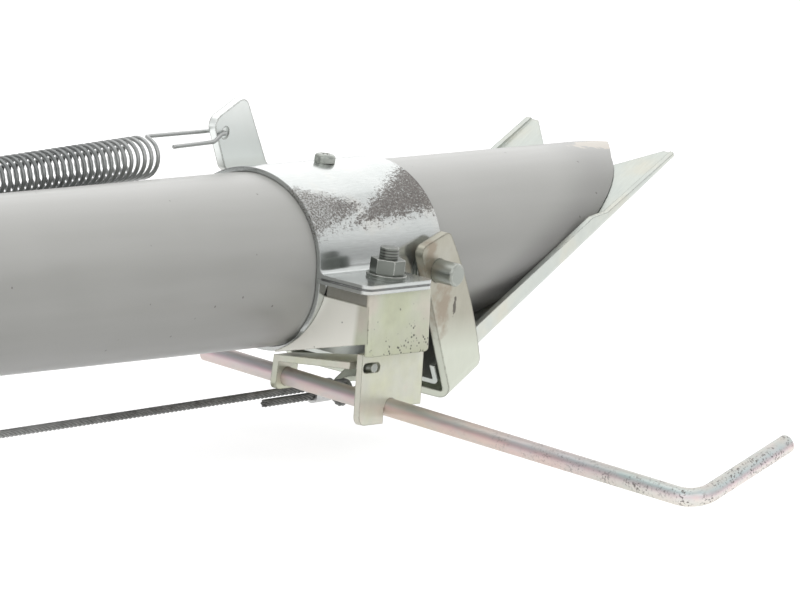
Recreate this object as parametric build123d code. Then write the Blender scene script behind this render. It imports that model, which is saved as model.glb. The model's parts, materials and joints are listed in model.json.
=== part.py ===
import math
import os

from build123d import *

# Hand transplanter lying along X, beak at +X. Origin on the tube axis at the jaw pivot, Z up. Millimetres.

# Planting tube
TUBE_R = 37.5
TUBE_WALL = 3.2
TUBE_TOP_X = -796.0
BEAK_ANGLE = 30.3
MOUTH_X = 37.3
THROAT_X = 30.0
BEAK_RELIEF = 0.6
TIP_POKE = 11.8
TIP_DEPTH = 5.5
TIP_SLOPE = 1.14

# Rolled collars, the same pressing at both ends
BAND_T = 2.0
BAND_GAP = 0.2
COLLAR_BACK = 76.2
COLLAR_FRONT = 9.8
FLANGE_LEN = 47.0
FLANGE_W = 25.8
FLANGE_CORNER = 4.0
FLANGE_BEND = 3.0
SLANT = 17.0
SLANT_KNEE = 5.5
KNEE_DROP = 24.0
TAB_BACK = 18.0
TAB_DROP = 9.0
SPLIT_GAP = 0.5
WELD_DEPTH = 1.2

# Fasteners
BOLT_R = 4.0
BOLT_CLEAR = 0.3
BOLT_X = -48.7
BOLT_OUT = 14.3
HEX_AF = 13.0
HEX_ROUND = 7.9
HEAD_H = 5.3
NUT_H = 6.5
STUD_TOP = 15.0
WASHER_R = 8.6
WASHER_T = 1.6
SCREW_X = -29.2
SCREW_HEAD_R = 4.5
SCREW_HEAD_H = 3.6
SCREW_ROUND = 1.5
SCREW_R = 2.0
SCREW_CLEAR = 0.1
SCREW_STOP = 0.5
RECESS_HALF = 2.6
RECESS_W = 1.2
RECESS_DEEP = 1.8

# Pivots
PIN_R = 5.0
RUN_CLEAR = 0.05
PIN_PROUD = 10.8
LEVER_PIN_PROUD = 9.0
PIN_CHAMFER = 0.8
SPACER_R = 9.0
SPACER_T = 1.7

# Jaw, in axes turned by BEAK_ANGLE about the pivot: t along the tongue, n across it
STRAP_T = 4.0
STRAP_TOP = 16.0
STRAP_NECK = 7.5
STRAP_FRONT = 12.8
SHOULDER_N = 12.0
STRAP_BULGE = 15.6
BULGE_N = -24.0
STRAP_FOOT = 11.5
STRAP_BACK = 10.5
STRAP_CORNER = 4.0
YOKE_BEND = 8.0
YOKE_INNER_BEND = 1.8
BASE_DROP = 7.5
BASE_T = 3.8
RISER_BACK = -2.0
RISER_FRONT = 9.0
RISER_HALF = 34.0
TONGUE_T = 2.5
TONGUE_GAP = 0.5
TONGUE_BACK = -11.0
TONGUE_END = 168.5
TONGUE_SIDE = 1.0
TONGUE_BEND = 3.0
LIP_BACK = 10.0
LIP_STEP_T = 108.0
LIP_STEP = 8.6
LIP_LOW_T = 118.0
LIP_LOW = 4.8
LIP_TIP = 3.2
PRONG_W = 6.2
PRONG_ROUND = 1.2
NOTCH_T = 131.0
NOTCH_ROUND = 4.0
EAR_HOLE_T = -17.2
EAR_HOLE_N = 62.2
EAR_HOLE_R = 2.6
EAR_ROUND = 5.0
EAR_LEFT = 5.2
EAR_RIGHT = 18.0
EAR_TOP = 8.4
EAR_SKEW = 1.0
EAR_LEAN = 2.0
EAR_WAIST = 22.0
EAR_HEEL = 15.0
EAR_ROOT = 20.0
TAB_HALF = 8.0
TAB_T = 3.0
TAB_GAP = 1.3
TAB_END = -29.5
TAB_HOLE_T = -21.5
TAB_HOLE_R = 4.5
JAW_OPEN = 28.0

# Stay bracket, a folded box under the near flange
SHEET = 2.5
STAY_X0 = -70.2
STAY_X1 = -27.2
STAY_OUT = 23.6
FRONT_H = 27.0
FRONT_LEAN = 6.0
FRONT_EDGE = 2.0
FRONT_CORNER = 4.0
WALL_DROP = 8.0
SHELF_TILT = 15.5
SHELF_SINK = 1.6
SHELF_T = 1.8
SHELF_END = 17.0

# Rod bracket
STRIP = 3.0
STRIP_X0 = -67.2
STRIP_X1 = -24.3
LEG_SET_IN = 3.0
LEG_TOP = 15.7
LEG_H = 35.5
LEG_LEAN = 4.5
LEG_CORNER = 4.0
LEG_STEP = 5.0
LEG_STEP_W = 6.0
SLOT_X = -60.5
SLOT_DOWN = 11.0
SLOT_L = 11.9
SLOT_H = 4.2
STUB_SHIFT = 0.7
STUB_R = 2.0
STUB_PROUD = 1.0
STUB_NUT_AF = 7.0
STUB_NUT_H = 3.0
NUT_SPACE = 1.0
WEB_TILT = 9.0
WEB_GAP = 2.1
FAR_LEG_Y = 3.6
FAR_LEG_HALF = 7.0
FAR_LEG_DROP = 3.7
FAR_LEG_ROUND = 3.0
NOTCH_GAP = 0.6

# Marker rod
ROD_R = 4.0
ROD_X = -45.7
ROD_DROP = 13.1
ROD_TILT = 1.87
ROD_IN = 98.0
ROD_OUT = 164.5
ROD_BEND = 10.0
ROD_LEG = 62.6
ROD_RISE = 18.9

# Return spring
WIRE_R = 0.9
COIL_R = 8.7
COIL_PITCH = 4.52
COIL_TURNS = 37
COIL_X = -98.4
COIL_SIDE = 2.0
COIL_FALL = 0.043
HOOK_GAP = 0.5
HOOK_RUN = 6.0
HOOK_PAST = 0.5
HOOK_SET_IN = 0.8
TAIL_NEAR = 7.0
TAIL_FAR = 34.0
TAIL_FALL = 3.2
TAIL_DIP = 0.6
COIL_LEAD = 70.0
ANCHOR_R = 2.5
ANCHOR_RUN = 28.0
ANCHOR_CLEAR = 0.25
ANCHOR_HEAD = 2.5
ANCHOR_HEAD_H = 3.0
ANCHOR_NUT_AF = 8.0
ANCHOR_NUT_H = 4.0

# Pull cable
CABLE_R = 1.8
LOOP_R = 4.4
WIRE_STEP = 4.05
LOOP_ANGLE = 40.0
LOOP_BEND = 6.0
BAR_CLEAR = 0.3
FERRULE_L = 12.0
FERRULE_WALL = 1.2
FERRULE_CLEAR = 0.02
FERRULE_OFF = 0.5
TAIL = 34.0

# Handle and lever
LEVER_X = -676.2
BAR_DROP = 26.5
FINGER_R = 6.0
FINGER_HALF = 112.0
SLEEVE_T = 2.0
GRIP_START = 55.0
GRIP_END = 3.0
GRIP_ROUND = 2.0
ARM_T = 4.0
ARM_HALF = 9.0
HANDLE_BACK = 55.0
HANDLE_DROP = 24.3
HANDLE_R = 11.0
HANDLE_WALL = 2.0
HANDLE_HALF = 165.0
GRIP_T = 4.5
CHEEK_Y = 20.0
CHEEK_T = 3.0
CHEEK_HALF = 18.0
CHEEK_CUT = 14.0

BAND_IN = TUBE_R + BAND_GAP
BAND_OUT = BAND_IN + BAND_T
TUBE_IN = TUBE_R - TUBE_WALL
SIN_B = math.sin(math.radians(BEAK_ANGLE))
COS_B = math.cos(math.radians(BEAK_ANGLE))
COLLAR_SHIFT = LEVER_X
MOUTH_N = -(MOUTH_X * SIN_B + TUBE_R * COS_B)
TIP_X = (TUBE_R * COS_B - MOUTH_N) / SIN_B + TIP_POKE
FLANGE_Y = BAND_OUT + FLANGE_W
BOLT_Y = BAND_OUT + BOLT_OUT
STRAP_Y = BAND_OUT + SPACER_T + 2 * RUN_CLEAR
STRAP_OUT = STRAP_Y + STRAP_T
TONGUE_HALF = STRAP_Y - TONGUE_SIDE
FRONT_Y = BAND_OUT + STAY_OUT
LEG_Y = FRONT_Y - LEG_SET_IN
LEG_Z = LEG_TOP - BAND_OUT
SHELF_R = BAND_OUT - SHELF_SINK
WEB_R = BAND_OUT + WEB_GAP
ROD_Z = -BAND_OUT - ROD_DROP
BAR_Z = -BAND_OUT - BAR_DROP
HANDLE_X = LEVER_X - HANDLE_BACK
HANDLE_Z = -BAND_OUT - HANDLE_DROP
COIL_Y = STRAP_OUT - COIL_SIDE
TONGUE_TOP = MOUTH_N - TONGUE_GAP
TONGUE_BOT = TONGUE_TOP - TONGUE_T
BASE_BOT = TONGUE_BOT - BASE_DROP
BASE_TOP = BASE_BOT + BASE_T
TAB_TOP = TONGUE_BOT - TAB_GAP
TAB_BOT = TAB_TOP - TAB_T
BORE_STOP = TUBE_IN + SCREW_STOP

# Longer than the object, for cutting tools
REACH = -2 * TUBE_TOP_X


def block(x0, x1, y0, y1, z0, z1):
    return Pos((x0 + x1) / 2, (y0 + y1) / 2, (z0 + z1) / 2) * Box(x1 - x0, y1 - y0, z1 - z0)


def rod_x(r, x0, x1, y=0.0, z=0.0):
    return Pos((x0 + x1) / 2, y, z) * Rot(0, 90, 0) * Cylinder(r, x1 - x0)


def rod_y(r, y0, y1, x=0.0, z=0.0):
    return Pos(x, (y0 + y1) / 2, z) * Rot(90, 0, 0) * Cylinder(r, y1 - y0)


def rod_z(r, z0, z1, x=0.0, y=0.0):
    return Pos(x, y, (z0 + z1) / 2) * Cylinder(r, z1 - z0)


def hex_z(af, z0, z1, x=0.0, y=0.0):
    plan = RegularPolygon(radius=af / 2, side_count=6, major_radius=False)
    return Pos(x, y, z0) * extrude(plan, amount=z1 - z0)


def across_y(plan, y0, y1):
    return extrude(Plane(origin=(0, y1, 0), x_dir=(1, 0, 0), z_dir=(0, -1, 0)) * plan, amount=y1 - y0)


def plate_xz(points, y0, y1, round_r=0.0):
    plan = make_face(Polyline(*points, close=True))
    if round_r > 0:
        plan = fillet(plan.vertices(), round_r)
    return across_y(plan, y0, y1)


def plate_xy(points, z0, z1):
    plan = make_face(Polyline(*points, close=True))
    return Pos(0, 0, z0) * extrude(plan, amount=z1 - z0)


def plate_yz(points, x0, x1):
    plan = make_face(Polyline(*points, close=True))
    return extrude(Plane(origin=(x0, 0, 0), x_dir=(0, 1, 0), z_dir=(1, 0, 0)) * plan, amount=x1 - x0)


def side_range(side, a, b):
    return sorted((side * a, side * b))


def jaw_place(shape):
    return Rot(0, -BEAK_ANGLE, 0) * shape


def jaw_point(t, n):
    return (t * COS_B - n * SIN_B, t * SIN_B + n * COS_B)


def one(shape):
    found = shape.solids()
    if len(found) != 1:
        raise ValueError("a piece must be one solid, not " + str(len(found)))
    return found[0]


parts = {}

# Tube: oblique mouth, thinned inside from the throat, and a pointed tip that passes the tongue's notch
tube = rod_x(TUBE_R, TUBE_TOP_X, TIP_X) - rod_x(TUBE_IN, TUBE_TOP_X - 1, TIP_X + 1)
tube = tube - rod_x(TUBE_IN + BEAK_RELIEF, THROAT_X, TIP_X + 1)
tip_back = TIP_X - TIP_SLOPE * TUBE_R
tip = plate_xy([(TIP_X, 0), (tip_back, TUBE_R), (tip_back, -TUBE_R)], TUBE_R - TIP_DEPTH, TUBE_R + 1)
tube = tube - (jaw_place(block(-REACH, REACH, -REACH, REACH, -REACH, MOUTH_N)) - tip)
tube = tube - rod_z(SCREW_R, BORE_STOP, TUBE_R + 5, SCREW_X, 0)

# Spring axis, level with the wire through the ear, and the point where its upper hook sits
ear_x, ear_z = jaw_point(EAR_HOLE_T, EAR_HOLE_N)
far_wire = STRAP_OUT + HOOK_GAP + WIRE_R
coil_deg0 = math.degrees(math.acos((far_wire - COIL_Y) / COIL_R))
COIL_Z = ear_z - COIL_R * math.sin(math.radians(coil_deg0))
axis_len = math.hypot(1.0, COIL_FALL)
AX = Vector(-1 / axis_len, 0, -COIL_FALL / axis_len)
E1 = Vector(0, 1, 0)
E2 = Vector(-COIL_FALL / axis_len, 0, 1 / axis_len)
coil_start = Vector(COIL_X, COIL_Y, COIL_Z)
hook_at = coil_start + AX * (COIL_PITCH * COIL_TURNS + ANCHOR_RUN)
hook_rad = math.hypot(hook_at.Y, hook_at.Z)
hook_deg = math.degrees(math.atan2(hook_at.Z, hook_at.Y))


def at_anchor(shape):
    return Pos(hook_at.X, 0, 0) * Rot(hook_deg - 90, 0, 0) * shape


tube = tube - at_anchor(rod_z(ANCHOR_R, BORE_STOP, TUBE_R + 5))
parts["planting_tube"] = one(tube)


# Bend between a band and its flange, above (up = 1) or below (up = -1) the split
def flange_bend(x0, x1, side, up):
    out = BAND_OUT + FLANGE_BEND
    high = BAND_T + FLANGE_BEND
    mid = math.sqrt(out * out - high * high)
    y0, y1 = side_range(side, BAND_OUT - WELD_DEPTH, mid)
    z0, z1 = side_range(up, BAND_T / 2, high * BAND_OUT / out)
    return block(x0, x1, y0, y1, z0, z1) - rod_x(FLANGE_BEND, x0 - 1, x1 + 1, side * mid, up * high)


# Collars
def collar(shift):
    back = -COLLAR_BACK
    end = back + FLANGE_LEN
    ring = rod_x(BAND_OUT, back, COLLAR_FRONT) - rod_x(BAND_IN, back - 1, COLLAR_FRONT + 1)
    upper = ring & block(-REACH, REACH, -REACH, REACH, 0, REACH)
    upper = upper + (ring & block(-TAB_BACK, REACH, -REACH, REACH, -TAB_DROP, 1))
    lower = ring & block(-REACH, REACH, -REACH, REACH, -REACH, 0)
    lower = lower - block(-TAB_BACK - SPLIT_GAP, REACH, -REACH, REACH, -TAB_DROP - SPLIT_GAP, 1)
    slant = [
        (back - 5, 0),
        (back, 0),
        (back + SLANT_KNEE, -KNEE_DROP),
        (back + SLANT, -BAND_OUT),
        (back + SLANT, -BAND_OUT - 5),
        (back - 5, -BAND_OUT - 5),
    ]
    lower = lower - plate_xz(slant, -FLANGE_Y, FLANGE_Y)
    for side in (-1, 1):
        y0, y1 = side_range(side, BAND_OUT - WELD_DEPTH, FLANGE_Y)
        flange = block(back, end, y0, y1, 0, BAND_T)
        outer = flange.edges().filter_by(Axis.Z).sort_by(lambda e: abs(e.center().Y))[-2:]
        flange = fillet(outer, FLANGE_CORNER)
        hole = rod_z(BOLT_R + BOLT_CLEAR, -10, 10, BOLT_X, side * BOLT_Y)
        upper = upper + flange + flange_bend(back, end, side, 1) - hole
        lower = lower + Pos(0, 0, -BAND_T) * flange + flange_bend(back + SLANT_KNEE, end, side, -1) - hole
    upper = upper - rod_y(PIN_R, -REACH, REACH)
    return Pos(shift, 0, 0) * upper, Pos(shift, 0, 0) * lower


up, low = collar(0.0)
up = up - rod_z(SCREW_R + SCREW_CLEAR, BAND_IN - 2, BAND_OUT + 2, SCREW_X, 0)
parts["collar_upper_half"] = one(up)
parts["collar_lower_half"] = one(low)
up, low = collar(COLLAR_SHIFT)
parts["handle_collar_upper"] = one(up)
parts["handle_collar_lower"] = one(low)

# Clamp bolts, washers and nuts
for name, shift in (("collar", 0.0), ("handle", COLLAR_SHIFT)):
    for end, side in (("near", -1), ("far", 1)):
        x = BOLT_X + shift
        y = side * BOLT_Y
        head = hex_z(HEX_AF, -BAND_T - HEAD_H, -BAND_T, x, y)
        bolt = head + rod_z(BOLT_R, -BAND_T - 1, STUD_TOP, x, y)
        parts[name + "_bolt_" + end] = one(bolt)
        ring = rod_z(WASHER_R, BAND_T, BAND_T + WASHER_T, x, y)
        parts[name + "_washer_" + end] = one(ring - rod_z(BOLT_R + BOLT_CLEAR, 0, STUD_TOP, x, y))
        seat = BAND_T + WASHER_T
        nut = hex_z(HEX_AF, seat, seat + NUT_H, x, y) & Pos(x, y, seat + NUT_H / 2) * Sphere(HEX_ROUND)
        parts[name + "_nut_" + end] = one(nut - rod_z(BOLT_R + RUN_CLEAR, 0, STUD_TOP, x, y))

# Cross-recess screw on top of the collar
top = BAND_OUT + SCREW_HEAD_H
head = rod_z(SCREW_HEAD_R, BAND_OUT, top)
head = fillet(head.edges().group_by(Axis.Z)[-1], SCREW_ROUND)
head = head - block(-RECESS_HALF, RECESS_HALF, -RECESS_W / 2, RECESS_W / 2, top - RECESS_DEEP, top + 1)
head = head - block(-RECESS_W / 2, RECESS_W / 2, -RECESS_HALF, RECESS_HALF, top - RECESS_DEEP, top + 1)
screw = head + rod_z(SCREW_R, BORE_STOP, BAND_OUT + 0.5)
parts["collar_screw"] = one(Pos(SCREW_X, 0, 0) * screw)

# Pivot studs and spacers, jaw and lever
ARM_IN = STRAP_Y
PIN_END = STRAP_OUT + PIN_PROUD
LEVER_PIN_END = ARM_IN + ARM_T + LEVER_PIN_PROUD
for name, shift, length in (("pivot", 0.0, PIN_END), ("lever", COLLAR_SHIFT, LEVER_PIN_END)):
    for end, side in (("near", -1), ("far", 1)):
        y0, y1 = side_range(side, BAND_OUT - WELD_DEPTH, length)
        pin = rod_y(PIN_R, y0, y1, shift, 0)
        tip_edge = pin.edges().filter_by(GeomType.CIRCLE).sort_by(lambda e: abs(e.center().Y))[-1]
        parts[name + "_pin_" + end] = one(chamfer(tip_edge, PIN_CHAMFER))
        y0, y1 = side_range(side, BAND_OUT + RUN_CLEAR, BAND_OUT + RUN_CLEAR + SPACER_T)
        ring = rod_y(SPACER_R, y0, y1, shift, 0) - rod_y(PIN_R + RUN_CLEAR, y0 - 1, y1 + 1, shift, 0)
        parts[name + "_spacer_" + end] = one(ring)

# Jaw yoke: a bent U whose straps bulge forward, a riser for the tongue, the spring ear and the cable tab
outer = block(-REACH, REACH, -STRAP_OUT, STRAP_OUT, BASE_BOT, STRAP_TOP)
outer = fillet(outer.edges().filter_by(Axis.X).group_by(Axis.Z)[0], YOKE_BEND)
inner = block(-REACH, REACH, -STRAP_Y, STRAP_Y, BASE_TOP, STRAP_TOP + 5)
inner = fillet(inner.edges().filter_by(Axis.X).group_by(Axis.Z)[0], YOKE_INNER_BEND)
front_edge = ThreePointArc((STRAP_FRONT, SHOULDER_N), (STRAP_BULGE, BULGE_N), (STRAP_FOOT, BASE_BOT))
foot = (STRAP_FOOT, BASE_BOT)
heel = (-STRAP_BACK, BASE_BOT)
plan = make_face(front_edge + Polyline(foot, heel, (-STRAP_NECK, STRAP_TOP), (STRAP_FRONT, SHOULDER_N)))
plan = fillet(plan.vertices().sort_by(Axis.Y)[-2:], STRAP_CORNER)
yoke = (outer - inner) & across_y(plan, -STRAP_OUT - 1, STRAP_OUT + 1)
yoke = yoke + block(RISER_BACK, RISER_FRONT, -RISER_HALF, RISER_HALF, BASE_TOP - 1, TONGUE_BOT)
ear_left = EAR_HOLE_T - EAR_LEFT
ear_right = EAR_HOLE_T + EAR_RIGHT
ear_top = EAR_HOLE_N + EAR_TOP
ear = [
    (STRAP_FRONT, -EAR_ROOT),
    (STRAP_FRONT, SHOULDER_N),
    (ear_right + EAR_LEAN, SHOULDER_N + EAR_WAIST),
    (ear_right, ear_top - EAR_SKEW),
    (ear_left, ear_top + EAR_SKEW),
    (ear_left, EAR_HOLE_N - EAR_HEEL),
    (-STRAP_NECK, STRAP_TOP),
    (-STRAP_NECK, -EAR_ROOT),
]
yoke = yoke + plate_xz(ear, STRAP_Y, STRAP_OUT, EAR_ROUND)
tab_mid = TAB_END + TAB_HALF
tab = block(tab_mid, RISER_BACK + 1, -TAB_HALF, TAB_HALF, TAB_BOT, TAB_TOP)
tab = tab + rod_z(TAB_HALF, TAB_BOT, TAB_TOP, tab_mid, 0)
tab = tab - rod_z(TAB_HOLE_R, TAB_BOT - 1, TAB_TOP + 1, TAB_HOLE_T, 0)
yoke = yoke + tab
yoke = yoke - rod_y(PIN_R + RUN_CLEAR, -REACH, REACH)
yoke = yoke - rod_y(EAR_HOLE_R, STRAP_Y - 5, STRAP_OUT + 5, EAR_HOLE_T, EAR_HOLE_N)
parts["jaw_yoke"] = one(jaw_place(yoke))

# Jaw tongue: a shallow channel with tapered side lips and two prongs
channel = block(TONGUE_BACK, TONGUE_END, -TONGUE_HALF, TONGUE_HALF, TONGUE_BOT, TONGUE_BOT + LIP_BACK)
channel = fillet(channel.edges().filter_by(Axis.X).group_by(Axis.Z)[0], TONGUE_BEND)
lip_in = TONGUE_HALF - TONGUE_T
hollow = block(-REACH, REACH, -lip_in, lip_in, TONGUE_TOP, TONGUE_TOP + LIP_BACK)
hollow = fillet(hollow.edges().filter_by(Axis.X).group_by(Axis.Z)[0], TONGUE_BEND - TONGUE_T)
over_lip = [
    (TONGUE_BACK - 1, TONGUE_BOT + LIP_BACK),
    (LIP_STEP_T, TONGUE_BOT + LIP_STEP),
    (LIP_LOW_T, TONGUE_BOT + LIP_LOW),
    (TONGUE_END + 1, TONGUE_BOT + LIP_TIP),
    (TONGUE_END + 1, TONGUE_BOT + LIP_BACK + 1),
    (TONGUE_BACK - 1, TONGUE_BOT + LIP_BACK + 1),
]
prong = TONGUE_HALF - PRONG_W
plan = make_face(
    Polyline(
        (TONGUE_BACK, -TONGUE_HALF),
        (TONGUE_END, -TONGUE_HALF),
        (TONGUE_END, -prong),
        (NOTCH_T, 0),
        (TONGUE_END, prong),
        (TONGUE_END, TONGUE_HALF),
        (TONGUE_BACK, TONGUE_HALF),
        close=True,
    )
)
plan = fillet(plan.vertices().group_by(Axis.X)[-1], PRONG_ROUND)
plan = fillet(plan.vertices().sort_by(lambda v: abs(v.Y))[0], NOTCH_ROUND)
tongue = channel - hollow - plate_xz(over_lip, -REACH, REACH)
tongue = tongue & Pos(0, 0, TONGUE_BOT - 1) * extrude(plan, amount=LIP_BACK + 2)
parts["jaw_tongue"] = one(jaw_place(tongue))


# Stay bracket: a leaning front plate, two walls and a sloping shelf, shaped round the band
def at_front(shape):
    return Pos(0, -FRONT_Y, -BAND_T) * Rot(-FRONT_LEAN, 0, 0) * shape


def shelf_place(shape):
    return Rot(-SHELF_TILT, 0, 0) * shape


front = block(STAY_X0, STAY_X1, 0, SHEET, -FRONT_H, 1)
front = fillet(front.edges().filter_by(Axis.Z).group_by(Axis.Y)[0], FRONT_EDGE)
round_x = STAY_X1 - FRONT_CORNER
round_z = FRONT_CORNER - FRONT_H
corner = block(round_x, STAY_X1 + 1, -1, SHEET + 1, -FRONT_H - 1, round_z)
front = at_front(front - (corner - rod_y(FRONT_CORNER, -2, SHEET + 2, round_x, round_z)))
front = front - block(-REACH, REACH, -REACH, REACH, -BAND_T, REACH)
walls = block(STAY_X0, STAY_X0 + SHEET, -FRONT_Y - 5, -SHELF_END, -BAND_OUT - 5, -WALL_DROP)
walls = walls + block(STAY_X1 - SHEET, STAY_X1, -FRONT_Y - 5, -SHELF_END, -BAND_OUT - 5, -WALL_DROP)
walls = walls - shelf_place(block(-REACH, REACH, -REACH, REACH, -REACH, -SHELF_R - SHELF_T / 2))
shelf = shelf_place(block(STAY_X0, STAY_X1, -REACH, REACH, -SHELF_R - SHELF_T, -SHELF_R))
shelf = shelf & block(-REACH, REACH, -FRONT_Y - 5, -SHELF_END, -REACH, 0)
box = (walls + shelf) - at_front(block(-REACH, REACH, -REACH, SHEET / 2, -REACH, REACH))
box = box - rod_x(BAND_OUT + RUN_CLEAR, -REACH, REACH)
parts["stay_bracket"] = one(front + box)


# Rod bracket: a leaning near leg under the shelf, a tapered web and a narrow far leg
def at_leg(shape):
    return Pos(0, -LEG_Y, LEG_Z) * Rot(-LEG_LEAN, 0, 0) * shape


def web_top(y):
    tilt = math.radians(WEB_TILT)
    return -WEB_R / math.cos(tilt) + math.tan(tilt) * abs(y)


rod_mid = Vector(ROD_X, -LEG_Y, ROD_Z)
rod_dir = Vector(0, -math.cos(math.radians(ROD_TILT)), -math.sin(math.radians(ROD_TILT)))
leg = block(STRIP_X0, STRIP_X1, 0, STRIP, -LEG_H, 0)
leg = fillet(leg.edges().filter_by(Axis.Y).group_by(Axis.Z)[0], LEG_CORNER)
leg = leg - block(STRIP_X0 - 1, STRIP_X0 + LEG_STEP_W, -1, STRIP + 1, -LEG_STEP, 1)
slot = extrude(SlotOverall(SLOT_L, SLOT_H), amount=STRIP * 3, both=True)
leg = leg - Pos(SLOT_X, 0, -SLOT_DOWN) * Rot(90, 0, 0) * slot
leg = leg - block(ROD_X - ROD_R - NOTCH_GAP, STRIP_X1 + 1, -1, STRIP + 1, -LEG_H - 1, ROD_Z - LEG_Z)
leg = at_leg(leg) - shelf_place(block(-REACH, REACH, -REACH, REACH, -SHELF_R - SHELF_T, REACH))

web_in = LEG_Y - STRIP / 2
far_out = FAR_LEG_Y + STRIP
drop = STRIP / math.cos(math.radians(WEB_TILT))
web = plate_yz(
    [
        (-web_in, web_top(web_in)),
        (-FAR_LEG_Y, web_top(FAR_LEG_Y)),
        (-FAR_LEG_Y, web_top(FAR_LEG_Y) - drop),
        (-web_in, web_top(web_in) - drop),
    ],
    STRIP_X0,
    STRIP_X1,
)
taper = [
    (STRIP_X0, -web_in - 1),
    (STRIP_X1, -web_in - 1),
    (ROD_X + FAR_LEG_HALF, -far_out),
    (ROD_X + FAR_LEG_HALF, 0),
    (ROD_X - FAR_LEG_HALF, 0),
    (ROD_X - FAR_LEG_HALF, -far_out),
]
web = web & plate_xy(taper, -REACH, 0)
STUB_X = SLOT_X + STUB_SHIFT
nut_end = LEG_Y - STRIP - STUB_NUT_H - NUT_SPACE
web = web - block(-REACH, STUB_X + STUB_NUT_AF / 2 + NUT_SPACE, -REACH, -nut_end, -REACH, 0)
far_leg = block(
    ROD_X - FAR_LEG_HALF,
    ROD_X + FAR_LEG_HALF,
    -far_out,
    -FAR_LEG_Y,
    ROD_Z - FAR_LEG_DROP,
    web_top(far_out) - drop / 2,
)
far_leg = fillet(far_leg.edges().filter_by(Axis.Y).group_by(Axis.Z)[0], FAR_LEG_ROUND)
bracket = leg + web + far_leg
bracket = bracket - Plane(origin=rod_mid, z_dir=rod_dir) * Cylinder(ROD_R + RUN_CLEAR, 4 * LEG_Y)
parts["rod_bracket"] = one(bracket)
stub = rod_y(STUB_R, -STUB_PROUD, STRIP + STUB_NUT_H + NUT_SPACE / 2)
parts["bracket_screw"] = one(at_leg(Pos(STUB_X, 0, -SLOT_DOWN) * stub))
nut = Rot(-90, 0, 0) * hex_z(STUB_NUT_AF, STRIP, STRIP + STUB_NUT_H)
nut = nut - rod_y(STUB_R + RUN_CLEAR, 0, 2 * STRIP + STUB_NUT_H)
parts["bracket_nut"] = one(at_leg(Pos(STUB_X, 0, -SLOT_DOWN) * nut))

# Marker rod
lift = math.radians(ROD_RISE)
leg_dir = Vector(math.cos(lift), 0, math.sin(lift))
leg_dir = (leg_dir - rod_dir * leg_dir.dot(rod_dir)).normalized()
rod_a = rod_mid - rod_dir * ROD_IN
corner = rod_mid + rod_dir * ROD_OUT
rod_b = corner - rod_dir * ROD_BEND
rod_c = corner + leg_dir * ROD_BEND
rod_d = corner + leg_dir * ROD_LEG
bend = Edge.make_tangent_arc(rod_b, rod_dir, rod_c)
path = Wire([Edge.make_line(rod_a, rod_b), bend, Edge.make_line(rod_c, rod_d)])
rod = sweep(Plane(origin=rod_a, z_dir=rod_dir) * Circle(ROD_R), path=path)
parts["marker_rod"] = one(rod)


# Spring wire as tangent arcs through stations of point and heading
def biarc(p0, t0, p1, t1):
    v = p1 - p0
    if v.cross(t0).length < 1e-6 and v.cross(t1).length < 1e-6:
        return [Edge.make_line(p0, p1)]
    t = t0 + t1
    k = 2 * (1 - t0.dot(t1))
    vt = v.dot(t)
    if k < 1e-9:
        d = v.dot(v) / (4 * v.dot(t1))
    else:
        d = (-vt + math.sqrt(vt * vt + k * v.dot(v))) / k
    mid = (p0 + p1 + (t0 - t1) * d) * 0.5
    join = (mid - p0 - t0 * d).normalized() if d > 1e-9 else t0
    return [Edge.make_tangent_arc(p0, t0, mid), Edge.make_tangent_arc(mid, join, p1)]


def coil(deg):
    a = math.radians(deg)
    turn = (deg - coil_deg0) / 360
    p = coil_start + AX * (COIL_PITCH * turn) + E1 * (COIL_R * math.cos(a)) + E2 * (COIL_R * math.sin(a))
    t = AX * (COIL_PITCH / (2 * math.pi)) + E1 * (-COIL_R * math.sin(a)) + E2 * (COIL_R * math.cos(a))
    return p, t.normalized()


near_wire = STRAP_Y - HOOK_GAP - WIRE_R
turn_r = (far_wire - near_wire) / 2
turn_x = ear_x - turn_r + HOOK_PAST
PX = Vector(1, 0, 0)
tail_from = Vector(turn_x - TAIL_FAR, near_wire, ear_z - TAIL_FALL - TAIL_DIP)
tail_to = Vector(turn_x - TAIL_NEAR, near_wire, ear_z - TAIL_FALL)
hook_in = Vector(COIL_X + HOOK_RUN, far_wire, ear_z)
ear_side = Vector(turn_x, far_wire, ear_z)
slope = (hook_in - ear_side).normalized()
stations = [
    (tail_from, (tail_to - tail_from).normalized()),
    (tail_to, (tail_to - tail_from).normalized()),
    (Vector(turn_x, near_wire, ear_z), PX),
    (Vector(turn_x + turn_r, near_wire + turn_r, ear_z), Vector(0, 1, 0)),
    (ear_side, PX * -1),
    (ear_side + slope * HOOK_RUN, slope),
    (hook_in, slope),
]
CROSS = Vector(0, -math.sin(math.radians(hook_deg)), math.cos(math.radians(hook_deg)))
last = COIL_TURNS * 360 + hook_deg + 90 - COIL_LEAD
deg = coil_deg0 + COIL_LEAD
while deg < last - 200:
    stations.append(coil(deg))
    deg = deg + 180
stations.append(coil((deg + last) / 2) if last - deg > 120 else coil(deg))
stations.append(coil(last))
anchor_ring = ANCHOR_R + WIRE_R + ANCHOR_CLEAR
coil_end = coil_start + AX * (COIL_PITCH * (last - coil_deg0) / 360)
stations.append((coil_end + AX * HOOK_RUN + CROSS * (COIL_R - HOOK_SET_IN), AX))
stations.append((hook_at + CROSS * anchor_ring, AX))
stations.append((hook_at + AX * anchor_ring, CROSS * -1))
stations.append((hook_at - CROSS * anchor_ring, AX * -1))
stations.append((hook_at - CROSS * anchor_ring - AX * 1.5 * HOOK_RUN, AX * -1))
edges = []
for (p0, t0), (p1, t1) in zip(stations, stations[1:]):
    edges.extend(biarc(p0, t0, p1, t1))
spring = sweep(Plane(origin=stations[0][0], z_dir=stations[0][1]) * Circle(WIRE_R), path=Wire(edges))
parts["return_spring"] = one(spring)

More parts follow.
